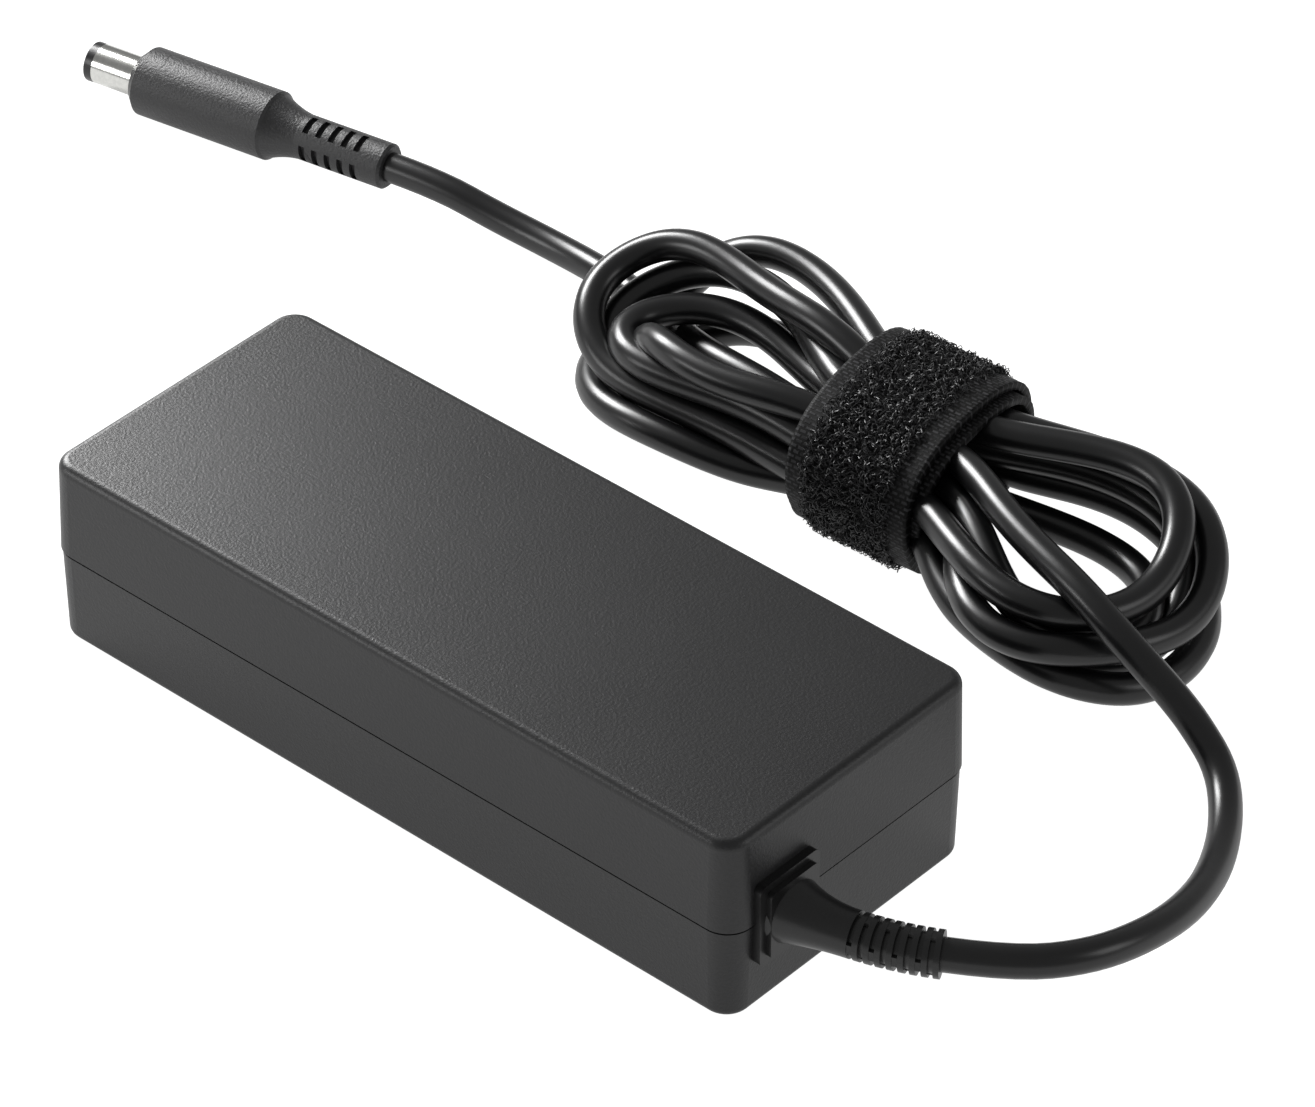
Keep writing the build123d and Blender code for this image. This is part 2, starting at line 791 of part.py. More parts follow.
def plug_profile():
    """Half outline of the grip, shoulder and neck, in radius against distance."""
    a = grip_start
    b = a + plug_grip_length
    c = b + plug_shoulder_length
    d = c + plug_neck_length
    edge = plug_grip_edge
    full, neck = plug_grip_radius, plug_neck_radius
    rim = (full - plug_rim_step, b)
    hollow = (neck + plug_shoulder_hollow, (b + c) / 2 - 0.35)
    outline = Polyline((neck, c), (neck, d - 0.4), (neck - 0.4, d), (0, d), (0, a),
                       (full - edge, a), (full, a + edge), (full, b - plug_rim_step), rim)
    return make_face(outline + ThreePointArc(rim, hollow, (neck, c)))


def plug_grip():
    frame = Plane(origin=on_plug(0), x_dir=(0, 0, 1), z_dir=plug_direction)
    profile = Plane(origin=frame.origin, x_dir=frame.x_dir, z_dir=-frame.y_dir) * plug_profile()
    body = revolve(profile, Axis(on_plug(0), plug_direction))
    body -= along_plug(barrel_shank_radius, grip_start - 1, barrel_buried + 1)
    neck_start = grip_start + plug_grip_length + plug_shoulder_length
    reach = plug_neck_radius + 1
    for i in range(plug_slot_count):
        distance = neck_start + plug_slot_first + i * plug_slot_pitch
        centre = on_plug(distance)
        for tilt in plug_slot_turns:
            cutter = Plane(origin=centre, x_dir=(0, 0, 1), z_dir=plug_direction) * (
                Rot(0, 0, tilt) * Pos(plug_neck_radius - plug_slot_depth + reach / 2, 0, 0)
                * Box(reach, 3.4, plug_slot_width)
            )
            body -= cutter
    return solid_of(body)


def plug_barrel():
    shell = along_plug(barrel_radius, tip_ring_length, barrel_exposed)
    shell += along_plug(barrel_shank_radius, grip_start, barrel_buried)
    return solid_of(shell - along_plug(barrel_bore_radius, 0, barrel_length + 5))


def tip_ring():
    """Insulating ring at the mouth, flush with the barrel."""
    return plug_pipe(barrel_radius, barrel_bore_radius - lining_thickness, 0, tip_ring_length)


def plug_base():
    """Insulator at the bottom of the barrel that carries the centre pin."""
    start = tip_ring_length + barrel_length - plug_base_length
    base = along_plug(barrel_bore_radius, start, plug_base_length)
    return solid_of(base - along_plug(centre_pin_radius, start - 1, plug_base_length + 2))


def plug_lining():
    """Thin insulating sleeve in the barrel's mouth."""
    outer = barrel_bore_radius
    end = tip_ring_length + barrel_length - plug_base_length
    return plug_pipe(outer, outer - lining_thickness, tip_ring_length, end - tip_ring_length)


def centre_pin():
    start = centre_pin_recess
    pin = along_plug(centre_pin_radius, start, tip_ring_length + barrel_length - start)
    tip = pin.edges().filter_by(GeomType.CIRCLE).sort_by_distance(on_plug(start))[0]
    return fillet(tip, centre_pin_radius * 0.6)


# --- Hank, tie and cord -----------------------------------------------------------------------
tie_inner_width = tie_outer_width - 2 * tie_thickness
tie_inner_height = tie_outer_height - 2 * tie_thickness
tie_middle_height = tie_outer_height / 2


def across(x, y, z, width, height, radius):
    """A rounded section square to the hank, in the tie's own frame."""
    frame = Plane(origin=(x, y, z), x_dir=(0, 1, 0), z_dir=(1, 0, 0))
    return frame * RectangleRounded(width, height, radius)


def waist_section(x):
    clear = hank_clearance
    return across(
        x, 0, tie_middle_height, tie_inner_width - 2 * clear, tie_inner_height - 2 * clear,
        tie_corner_radius - tie_thickness - clear,
    )


def lobe(sign, stations):
    """One end of the hank, from the tie out to its tip."""
    sections = [waist_section(sign * tie_width / 2)]
    for distance, offset, width, height in stations:
        radius = min(hank_edge_radius, height / 2 - 0.3)
        sections.append(across(sign * distance, offset, height / 2, width, height, radius))
    return loft(sections, ruled=True)


def lay_down(body):
    """Move a body from the tie's own frame to where the hank lies."""
    return Pos(tie_x, tie_y, 0) * Rot(0, 0, hank_heading) * body


def cord_hank():
    waist = extrude(waist_section(-tie_width / 2), tie_width, dir=(1, 0, 0))
    return solid_of(lay_down(waist + lobe(-1, hank_left) + lobe(1, hank_right)))


def cable_tie():
    half = tie_width / 2
    outer = across(-half, 0, tie_middle_height, tie_outer_width, tie_outer_height,
                   tie_corner_radius)
    inner = across(-half, 0, tie_middle_height, tie_inner_width, tie_inner_height,
                   tie_corner_radius - tie_thickness)
    band = extrude(outer, tie_width, dir=(1, 0, 0)) - extrude(inner, tie_width, dir=(1, 0, 0))
    near = -tie_outer_width / 2 - tie_tail_reach
    tail = block(-half, half, near, near + tie_tail_length, 0, tie_tail_thickness)
    return solid_of(lay_down(band + tail))


def bend_radii(points):
    """Each corner's arc is as large as its two runs allow."""
    radii = []
    for a, b, c in zip(points, points[1:], points[2:]):
        before, after = Vector(b) - Vector(a), Vector(c) - Vector(b)
        turn = math.radians(before.get_angle(after))
        radii.append(0.45 * min(before.length, after.length) / math.tan(turn / 2))
    return radii


def cord_tube(name, points):
    radii = bend_radii(points)
    path = FilletPolyline(*points, radius=radii)
    heading = Vector(points[1]) - Vector(points[0])
    section = Plane(origin=points[0], z_dir=heading) * Circle(cord_diameter / 2)
    tube = sweep(section, path)
    area = math.pi * cord_diameter ** 2 / 4
    print(name, "radii", [round(r, 1) for r in radii], "length", round(path.length, 1),
          "volume / (section x length)", round(tube.volume / (area * path.length), 5))
    return tube


def main():
    write("upper_case", upper_case())
    write("lower_case", lower_case())
    write("rating_label", rating_label())

    write("ac_inlet_body", inlet_body())
    for name, (y, z) in pin_places().items():
        write(name, inlet_pin(y, z))
    write("ac_leads", *ac_leads())

    write("circuit_board", circuit_board())
    write("heat_spreader_lower", lower_spreader())
    write("insulating_sheet", insulating_sheet())
    write("heat_spreader_upper", upper_spreader())

    write("x_capacitor", x_capacitor())
    write("common_mode_core", common_mode_core())
    write("common_mode_windings", *common_mode_windings())
    write("bulk_capacitor", bulk_capacitor())
    core, bobbin, winding = transformer()
    write("transformer_core", core)
    write("transformer_bobbin", *bobbin)
    write("transformer_windings", *winding)
    core, bobbin, winding = pfc_inductor()
    write("pfc_inductor_core", core)
    write("pfc_inductor_bobbin", *bobbin)
    write("pfc_inductor_windings", *winding)
    write("primary_heatsink", primary_heatsink())
    write("switching_transistor", power_package(switch_x(), heatsink_y(), -1))
    write("secondary_heatsink", secondary_heatsink())
    rectifier_y = secondary_heatsink_y() + heatsink_thickness
    write("output_rectifier", power_package(output_x, rectifier_y, 1))
    write("heatsink_screws",
          screw(switch_x(), heatsink_y() - package_size[1], 1),
          screw(output_x, rectifier_y + package_size[1], -1))
    write("output_capacitors", *output_capacitors())
    write("output_choke", output_choke())
    write("y_capacitors", *y_capacitors())
    for name, body in small_parts().items():
        write(name, body)
    write("dc_leads", *dc_leads())

    write("cable_boot", cable_boot())
    hank = cord_hank()
    write("cord_hank", hank)
    write("cable_tie", cable_tie())
    first = tuple(Vector(cord_exit) + Vector(cord_exit_direction) * boot_first_run)
    brick_lead = cord_tube("cord_brick_lead", [cord_exit, first] + brick_lead_points)
    write("cord_brick_lead", solid_of(brick_lead - hank))
    plug_ends = [on_plug(plug_length), on_plug(plug_length + plug_first_run)]
    plug_lead = cord_tube("cord_plug_lead", plug_ends + plug_lead_points)
    write("cord_plug_lead", solid_of(plug_lead - hank))

    write("plug_grip", plug_grip())
    write("plug_barrel", plug_barrel())
    write("plug_tip_ring", tip_ring())
    write("plug_lining", plug_lining())
    write("plug_base", plug_base())
    write("plug_centre_pin", centre_pin())


main()
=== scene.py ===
# %% [markdown]
# # A laptop power adapter on a white table
# The brick, its boot, the plug and everything inside come from the CAD frame and keep their shape. What this
# script adds is what CAD can't draw well: a glossy cord wound into a hank, the hook-and-loop strap that ties it,
# and a finish for every surface. All lengths are in metres, and the names that end in MM are in millimetres.

# %% Load the frame
import math
import random

import bpy
import numpy as np
from mathutils import Matrix, Vector


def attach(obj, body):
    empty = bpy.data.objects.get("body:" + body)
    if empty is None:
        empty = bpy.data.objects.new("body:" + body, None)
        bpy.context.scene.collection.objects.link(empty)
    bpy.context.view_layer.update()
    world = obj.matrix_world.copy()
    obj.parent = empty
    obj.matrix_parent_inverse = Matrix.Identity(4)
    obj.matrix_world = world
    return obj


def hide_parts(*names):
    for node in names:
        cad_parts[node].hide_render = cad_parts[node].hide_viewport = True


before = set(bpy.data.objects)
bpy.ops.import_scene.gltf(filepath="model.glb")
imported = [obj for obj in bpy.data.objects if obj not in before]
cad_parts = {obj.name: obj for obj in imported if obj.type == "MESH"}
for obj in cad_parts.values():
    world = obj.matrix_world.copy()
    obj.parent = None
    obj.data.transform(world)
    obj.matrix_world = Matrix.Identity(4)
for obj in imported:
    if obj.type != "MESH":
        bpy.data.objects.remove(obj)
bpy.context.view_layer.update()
MM = 0.001

# %% [markdown]
# ## The camera
# A long lens from well above the brick's corner keeps the edges nearly parallel, as product pictures do. Its
# place, two angles, small roll and lens were fitted together by a program, so they aren't round numbers.

# %% Camera
CAMERA_PLACE = Vector((0.51984, -0.55559, 0.62646))
CAMERA_AZIMUTH, CAMERA_ELEVATION, CAMERA_ROLL = 41.484, 37.986, 0.2235
CAMERA_LENS = 192.53


def make_camera():
    azimuth, elevation, roll = map(math.radians, (CAMERA_AZIMUTH, CAMERA_ELEVATION, CAMERA_ROLL))
    level, rise = math.cos(elevation), math.sin(elevation)
    back = Vector((math.sin(azimuth) * level, -math.cos(azimuth) * level, rise))
    right = Vector((math.cos(azimuth), math.sin(azimuth), 0))
    up = back.cross(right)
    right, up = (right * math.cos(roll) + up * math.sin(roll), up * math.cos(roll) - right * math.sin(roll))
    camera = bpy.data.objects.new("camera", bpy.data.cameras.new("camera"))
    camera.data.lens = CAMERA_LENS
    camera.data.sensor_width = 36
    camera.data.sensor_fit = "HORIZONTAL"
    camera.data.clip_end = 10
    turned = Matrix((right, up, back)).transposed().to_4x4()
    camera.matrix_world = Matrix.Translation(CAMERA_PLACE) @ turned
    bpy.context.scene.collection.objects.link(camera)
    bpy.context.scene.camera = camera


make_camera()

# %% [markdown]
# ## The cord: one line from the boot to the plug
# The cord is a single soft lead, 4.8 mm thick. It leaves the boot, lies on the table in a wide bend, is wound
# five times into a hank and ends in the plug. The two free stretches repeat the CAD route's points, and a
# rise over the hank joins the first one to the turns. Each turn of the hank is worked out from a few sizes:
# how far its two loops reach, how wide they fan out and how high they lie, because loose turns all differ.

# %% Sizes of the hank and the free stretches
CORD_MM = 4.8
CORD_RADIUS = CORD_MM * MM / 2
TIE_PLACE_MM = (9.8, 78.1)
TIE_TURN = math.radians(3.0)
TIE_HALF_MM = 10.8             # half the strap's width, along the hank
TIE_OUTER_MM = (36.0, 22.8)    # across the hank, and up
TIE_THICK_MM = 3.0

BRICK_LEAD_MM = [
    (86.18, -8.14, 15.1), (94.41, -3.39, 15.1), (100.4, 5.0, 14.4), (101.8, 15.8, 12.0),
    (100.2, 27.4, 8.8), (95.8, 38.8, 5.6), (89.6, 49.2, 4.0), (83.2, 56.2, 5.2),
]
BRICK_LEAD_RISE_MM = [
    (76.8, 58.6, 8.4), (71.3, 57.9, 12.8), (64.8, 57.4, 16.4), (56.9, 58.9, 18.6),
    (47.0, 61.9, 19.2), (35.7, 66.1, 19.0), (25.6, 70.8, 18.0),
]
PLUG_LEAD_DIP_MM = [(-16.0, 77.0, 9.2), (-26.0, 77.4, 8.0), (-36.0, 80.0, 6.6)]
PLUG_LEAD_MM = [
    (-45.6, 83.6, 5.4), (-54.0, 86.8, 4.4), (-63.5, 88.9, 3.0), (-73.5, 89.6, 2.4),
    (-83.3, 88.4, 3.4), (-93.02, 86.52, 5.6), (-101.88, 84.93, 5.6),
]

# Each loop: its reach from the strap's middle, where its far and near side lie half way out, where its tip lies
# across the hank, how round the tip is, and the height of the far side, the tip and the near side. Most of
# these numbers were printed by a least-squares fit and rounded to half a millimetre, not chosen one by one.
LEFT_LOOPS_MM = [
    (58.5, 14, -2, 1, 21.5, 14.5, 8.5, 4),
    (59, 22, -13.5, 4.5, 32, 14.5, 2.5, 4.5),
    (51, 8.5, -10, -2, 18.5, 12.5, 10.5, 12.5),
    (61, 12, -10, 2.5, 23.5, 19, 13.5, 7.5),
    (53, 12.5, -10, 3, 20, 6.5, 2.5, 15.5),
]
RIGHT_LOOPS_MM = [
    (52.5, 11, -26.5, -5.5, 30, 15, 8.5, 11.5),
    (48.5, 11.5, -20.5, -4, 24.5, 10.5, 3, 3.5),
    (47.5, 9.5, -24, -9, 32.5, 18.5, 13, 15.5),
    (53, 10.5, -25.5, -11, 28.5, 5, 2.5, 6.5),
    (47.5, 3.5, -24, -12.5, 26, 5.5, 7.5, 11.5),
]
# Where each pass enters and leaves the strap: across the hank, and up.
FAR_PASSES_MM = [
    ((-6, 17.4), (-1.6, 17.4)), ((7.4, 15.6), (7.2, 15.8)), ((8, 11), (-0.8, 12.4)),
    ((3, 17.4), (2.6, 17.4)), ((9, 6.5), (6, 10)), ((2.4, 5.4), (-3, 8)),
]
NEAR_PASSES_MM = [
    ((-5, 5.4), (-6.7, 9.8)), ((-10.4, 6.4), (-11.2, 5.4)), ((-11, 12.6), (-12.4, 12.6)),
    ((-12.4, 8.8), (-12.4, 9)), ((-8.6, 15.2), (-8.2, 14)),
]
POINTS_PER_LOOP = 23

# %% Turns of the hank, worked out
def from_tie(points):
    """Points along, across and above the hank, moved to where the strap is."""
    points = np.asarray(points, float)
    c, s = math.cos(TIE_TURN), math.sin(TIE_TURN)
    x, y = points[:, 0], points[:, 1]
    return np.stack([TIE_PLACE_MM[0] + x * c - y * s, TIE_PLACE_MM[1] + x * s + y * c, points[:, 2]], 1)


def to_tie(points):
    c, s = math.cos(TIE_TURN), math.sin(TIE_TURN)
    x, y = points[:, 0] - TIE_PLACE_MM[0], points[:, 1] - TIE_PLACE_MM[1]
    return np.stack([x * c + y * s, y * c - x * s, points[:, 2]], 1)


def through(start, middle, end, share):
    """A parabola through three values, at 0, at the half-way angle's sine and at 1."""
    half = math.sqrt(0.5)
    bow = ((end - start) - (middle - start) / half) / (1 - half)
    return start + ((middle - start) / half - bow * half) * share + bow * share ** 2


def eased(share):
    share = np.clip(share, 0, 1)
    return share * share * (3 - 2 * share)


def loop_points(side, sizes, enter, leave):
    """One loop, from where it leaves the strap to where it goes back in; side is -1 left, 1 right."""
    reach, far, near, tip_offset, tip_breadth, far_height, tip_height, near_height = sizes
    first, second = (far, near) if side < 0 else (near, far)
    angle = np.linspace(0, math.pi, POINTS_PER_LOOP + 2)[1:-1]
    out, along = np.sin(angle), np.cos(angle)
    middle = through((enter[0] + leave[0]) / 2, (first + second) / 2, tip_offset, out)
    half = through((enter[0] - leave[0]) / 2, (first - second) / math.sqrt(2), -side * tip_breadth, out)
    coming = along > 0
    side_height = np.where(coming == (side < 0), far_height, near_height)
    strap_height = np.where(coming, enter[1], leave[1])
    to_side = eased(np.abs(along) / 0.7)
    to_strap = eased((np.abs(along) - 0.5) / 0.5)
    height = tip_height * (1 - to_side) + side_height * to_side
    height = height * (1 - to_strap) + strap_height * to_strap
    u = side * (TIE_HALF_MM + (reach - TIE_HALF_MM) * out)
    return list(np.stack([u, middle + along * half, height], 1))


def pass_points(side, enter, leave):
    """A straight pass under the strap, from one of its edges to the other."""
    shares = (0, 1 / 3, 2 / 3, 1)
    return [(side * TIE_HALF_MM * (1 - 2 * t), enter[0] + t * (leave[0] - enter[0]),
             enter[1] + t * (leave[1] - enter[1])) for t in shares]


def hank_points():
    points = []
    for turn, (near_in, near_out) in enumerate(NEAR_PASSES_MM):
        far_in, far_out = FAR_PASSES_MM[turn]
        points += pass_points(1, far_in, far_out)
        points += loop_points(-1, LEFT_LOOPS_MM[turn], far_out, near_in)
        points += pass_points(-1, near_in, near_out)
        points += loop_points(1, RIGHT_LOOPS_MM[turn], near_out, FAR_PASSES_MM[turn + 1][0])
    return from_tie(points + pass_points(1, *FAR_PASSES_MM[-1]))


# %% [markdown]
# ## Letting the turns settle
# Drawn turns run through each other, and settling them lessens that but doesn't end it: some strands still
# overlap. The hank is cut into short steps, and strands that are closer than
# one cord's thickness push each other apart, a little at a time, while the table and the strap hold them in. The
# pushes are smoothed along the cord, because a cord can't kink.

# %% Settle the hank
STEP_MM = 2.4
SETTLE_ROUNDS = 100
SMOOTH_ROUNDS = 5
APART_MM = CORD_MM * 1.01      # strands closer than this are pushed apart
NEIGHBOUR_SHARE = 4.2          # along the cord, points this many diameters apart or less never push
PUSH_SHARE = 0.5               # part of an overlap that one round mends
SIDEWAYS_SHARE = 0.6           # sideways pushes are weaker than pushes up
FADE, FADE_UNTIL = 0.97, 0.8   # early rounds draw the line back to its guide
OPENING_CORNER_MM = 5.0        # rounding of the strap's opening, for the cord's middle
UNDER_MARGIN_MM = 1.5          # the strap holds the cord a little past its edges


def rounded_line(points, per_point):
    """The smooth line that a spline of order 3 draws from its control points."""
    points = np.asarray(points, float)
    middles = (points[:-1] + points[1:]) / 2
    starts = np.concatenate([points[:1], middles[1:-1]])
    ends = np.concatenate([middles[1:-1], points[-1:]])
    share = np.linspace(0, 1, per_point, endpoint=False)[:, None]
    pieces = [(1 - share) ** 2 * a + 2 * share * (1 - share) * b + share ** 2 * c
              for a, b, c in zip(starts, points[1:-1], ends)]
    return np.concatenate(pieces + [points[-1:]])


def evenly(line, step):
    """The same line with points one step apart."""
    along = np.concatenate([[0], np.cumsum(np.linalg.norm(np.diff(line, axis=0), axis=1))])
    places = np.linspace(0, along[-1], int(round(along[-1] / step)) + 1)
    return np.stack([np.interp(places, along, line[:, axis]) for axis in range(3)], 1)


def held_by_strap(points):
    """Points under the strap are kept inside its rounded opening."""
    local = to_tie(points)
    half_width = TIE_OUTER_MM[0] / 2 - TIE_THICK_MM - CORD_MM / 2
    half_height = TIE_OUTER_MM[1] / 2 - TIE_THICK_MM - CORD_MM / 2
    corner, middle = OPENING_CORNER_MM, TIE_OUTER_MM[1] / 2
    flat = np.stack([np.clip(local[:, 1], corner - half_width, half_width - corner),
                     middle + np.clip(local[:, 2] - middle, corner - half_height, half_height - corner)], 1)
    away = local[:, 1:] - flat
    distance = np.maximum(np.linalg.norm(away, axis=1), 1e-6)
    under = np.abs(local[:, 0]) < TIE_HALF_MM + UNDER_MARGIN_MM
    shrink = np.where(under, np.minimum(1, corner / distance), 1)
    local[:, 1:] = flat + away * shrink[:, None]
    return from_tie(local)


def settle(line, free):
    """Push strands apart; free is 1 where the line may move and 0 where it is fixed."""
    moved = np.zeros_like(line)
    order = np.arange(len(line))
    apart = np.abs(order[:, None] - order[None, :]) > NEIGHBOUR_SHARE * CORD_MM / STEP_MM
    for step in range(SETTLE_ROUNDS):
        points = line + moved
        between = points[:, None, :] - points[None, :, :]
        distance = np.sqrt((between ** 2).sum(2)) + 1e-9
        touching = apart & (distance < APART_MM)
        share = np.where(touching, (APART_MM - distance) / distance, 0)
        push = (share[:, :, None] * between).sum(1)
        push *= PUSH_SHARE / np.sqrt(np.maximum(1, touching.sum(1)))[:, None]
        moved += push * (SIDEWAYS_SHARE, SIDEWAYS_SHARE, 1.0) * free
        smooth = moved.copy()
        smooth[1:-1] = (moved[:-2] + 2 * moved[1:-1] + moved[2:]) / 4
        moved = (0.4 * moved + 0.6 * smooth) * (FADE if step < FADE_UNTIL * SETTLE_ROUNDS else 1)
        points = line + moved
        points[:, 2] = np.maximum(points[:, 2], CORD_MM / 2)
        moved = (held_by_strap(points) - line) * free
    return line + moved


def wound_hank():
    """Settled points of the hank, from where the brick's lead starts to rise to where the plug's lead ends."""
    guide = BRICK_LEAD_MM + BRICK_LEAD_RISE_MM + list(hank_points()) + PLUG_LEAD_DIP_MM + PLUG_LEAD_MM
    line = evenly(rounded_line(guide, 8), STEP_MM)
    first = int(np.linalg.norm(line[:90] - BRICK_LEAD_MM[-1], axis=1).argmin())
    last = len(line) - 90 + int(np.linalg.norm(line[-90:] - PLUG_LEAD_MM[0], axis=1).argmin())
    order = np.arange(len(line))
    free = eased((order - first) / 4) * eased((last - order) / 4)
    settled = settle(line, free[:, None])
    for _ in range(SMOOTH_ROUNDS):
        softer = (settled[:-2] + 2 * settled[1:-1] + settled[2:]) / 4
        settled[1:-1] += (softer - settled[1:-1]) * free[1:-1, None]
    return settled[first + 3:last - 2:2]


hank = wound_hank()
print("hank points", len(hank), "lowest and highest, mm", hank[:, 2].min().round(1), hank[:, 2].max().round(1))

# %% The cord as one spline
def make_cord():
    points = [Vector(p) * MM for p in BRICK_LEAD_MM + [tuple(p) for p in hank] + PLUG_LEAD_MM]
    curve = bpy.data.curves.new("cord", "CURVE")
    curve.dimensions = "3D"
    curve.bevel_depth = CORD_RADIUS
    curve.bevel_resolution = 6
    curve.resolution_u = 5
    curve.use_fill_caps = True
    spline = curve.splines.new("NURBS")
    spline.points.add(len(points) - 1)
    for place, point in zip(spline.points, points):
        place.co = (*point, 1)
    spline.order_u = 3
    spline.use_endpoint_u = True
    cord = bpy.data.objects.new("cord", curve)
    bpy.context.scene.collection.objects.link(cord)
    return cord


cord = make_cord()

# %% [markdown]
# ## Materials
# Colours are written as screen hex values, and one function turns them to the linear values that the renderer
# works in. One small function adds a node with its settings and links.

# %% Material helpers
def linear(hex_colour):
    """An sRGB hex colour as linear RGBA."""
    values = [int(hex_colour[i:i + 2], 16) / 255 for i in (1, 3, 5)]
    return tuple(v / 12.92 if v <= 0.04045 else ((v + 0.055) / 1.055) ** 2.4 for v in values) + (1,)


def add_node(tree, kind, settings=None, **inputs):
    """Add a node. A value goes on a socket; an output of another node is linked to it."""
    node = tree.nodes.new("ShaderNode" + kind)
    for name, value in (settings or {}).items():
        setattr(node, name, value)
    for name, value in inputs.items():
        numbered = name[0] == "i" and name[1:].isdigit()
        socket = node.inputs[int(name[1:]) if numbered else name.replace("_", " ")]
        if isinstance(value, bpy.types.NodeSocket):
            tree.links.new(value, socket)
        else:
            socket.default_value = value
    return node


def new_material(name):
    material = bpy.data.materials.new(name)
    material.use_nodes = True
    material.node_tree.nodes.clear()
    return material, material.node_tree


def finish_surface(tree, **inputs):
    """The Principled shader with these inputs, sent to the output."""
    shader = add_node(tree, "BsdfPrincipled", None, **inputs)
    output = add_node(tree, "OutputMaterial")
    tree.links.new(shader.outputs["BSDF"], output.inputs["Surface"])
    return shader


def noise(tree, size_mm, detail=2.0, roughness=0.5, stretch=(1, 1, 1)):
    """A noise pattern with blobs of about this size, on the piece's own coordinates."""
    place = add_node(tree, "TexCoord").outputs["Object"]
    place = add_node(tree, "Mapping", Vector=place, Scale=stretch).outputs["Vector"]
    pattern = add_node(
        tree, "TexNoise", Vector=place, Scale=1 / (size_mm * MM), Detail=detail, Roughness=roughness)
    return pattern.outputs["Fac"]


def between(tree, share, low, high):
    """Map a pattern to a range of values."""
    return add_node(tree, "MapRange", Value=share, To_Min=low, To_Max=high).outputs["Result"]


def two_colours(tree, share, dark, light):
    mixed = add_node(tree, "Mix", {"data_type": "RGBA"}, Factor=share, i6=linear(dark), i7=linear(light))
    return mixed.outputs[2]


def bumped(tree, height, depth_mm, strength=1.0):
    return add_node(tree, "Bump", Height=height, Distance=depth_mm * MM, Strength=strength).outputs["Normal"]


def moulded(name, dark, light, gloss, grain_mm, depth_mm, metal=0.0, ior=1.5, patch_mm=25.0):
    """A surface with a fine grain, and colour and roughness that wander slowly over it."""
    material, tree = new_material(name)
    grain = noise(tree, grain_mm, 3.0, 0.6)
    patches = noise(tree, patch_mm, 2.0)
    finish_surface(
        tree, Base_Color=two_colours(tree, grain, dark, light),
        Roughness=between(tree, patches, gloss[0], gloss[1]),
        Normal=bumped(tree, grain, depth_mm), Metallic=metal, IOR=ior)
    return material


# %% [markdown]
# ### Finishes of the shell and the lead
# The shell is a black PC/ABS blend from a spark-eroded mould: a fine even grain that scatters light, so the top
# turns grey towards the lamp. The lead is extruded soft PVC, smooth and satin. The boot and the plug's grip are
# the same PVC, moulded with a slight texture. The barrel is nickel-plated brass.

# %% Finishes that show
# PC/ABS with a spark-eroded grain of about 0.3 mm, drawn at 0.45 mm so that it shows: matte, even, dark grey.
shell_plastic = moulded("pc_abs_spark_eroded", "#0f0f10", "#222223", (0.38, 0.42), 0.45, 0.05)
# Soft PVC from an extruder: satin, with a very faint orange peel and a colder, darker body.
jacket_pvc = moulded("pvc_extruded_satin", "#0a0a0b", "#121213", (0.27, 0.34), 1.6, 0.008, ior=1.52)
# The same PVC moulded round the lead: a bit duller, with a light texture.
boot_pvc = moulded("pvc_moulded_boot", "#0b0b0c", "#171717", (0.26, 0.34), 0.5, 0.014, ior=1.52)
# The plug's grip is moulded PVC with a coarser spark-eroded grain.
grip_pvc = moulded("pvc_moulded_textured", "#141415", "#2c2c2d", (0.4, 0.5), 0.42, 0.12, ior=1.52)
# Bright nickel over brass, turned along its length: nearly a mirror.
barrel_nickel = moulded("nickel_plated_brass", "#b9b9b6", "#d8d8d4", (0.12, 0.2), 0.6, 0.002, metal=1.0)
# PBT insulator, moulded smooth.
insulator_pbt = moulded("pbt_moulded_insulator", "#0c0c0d", "#151516", (0.3, 0.36), 0.8, 0.004)
# Nylon inlet housing, moulded smooth with a slight haze.
inlet_nylon = moulded("nylon_moulded_inlet", "#0b0b0c", "#161617", (0.34, 0.42), 0.7, 0.006)
# Blank polycarbonate label film.
label_film = moulded("polycarbonate_label_film", "#1b1b1c", "#222224", (0.3, 0.38), 0.9, 0.003)

# %% [markdown]
# ### Finishes inside the shell
# Nothing of the circuit shows while the shell is closed, but the pieces are there, so each has its real finish.

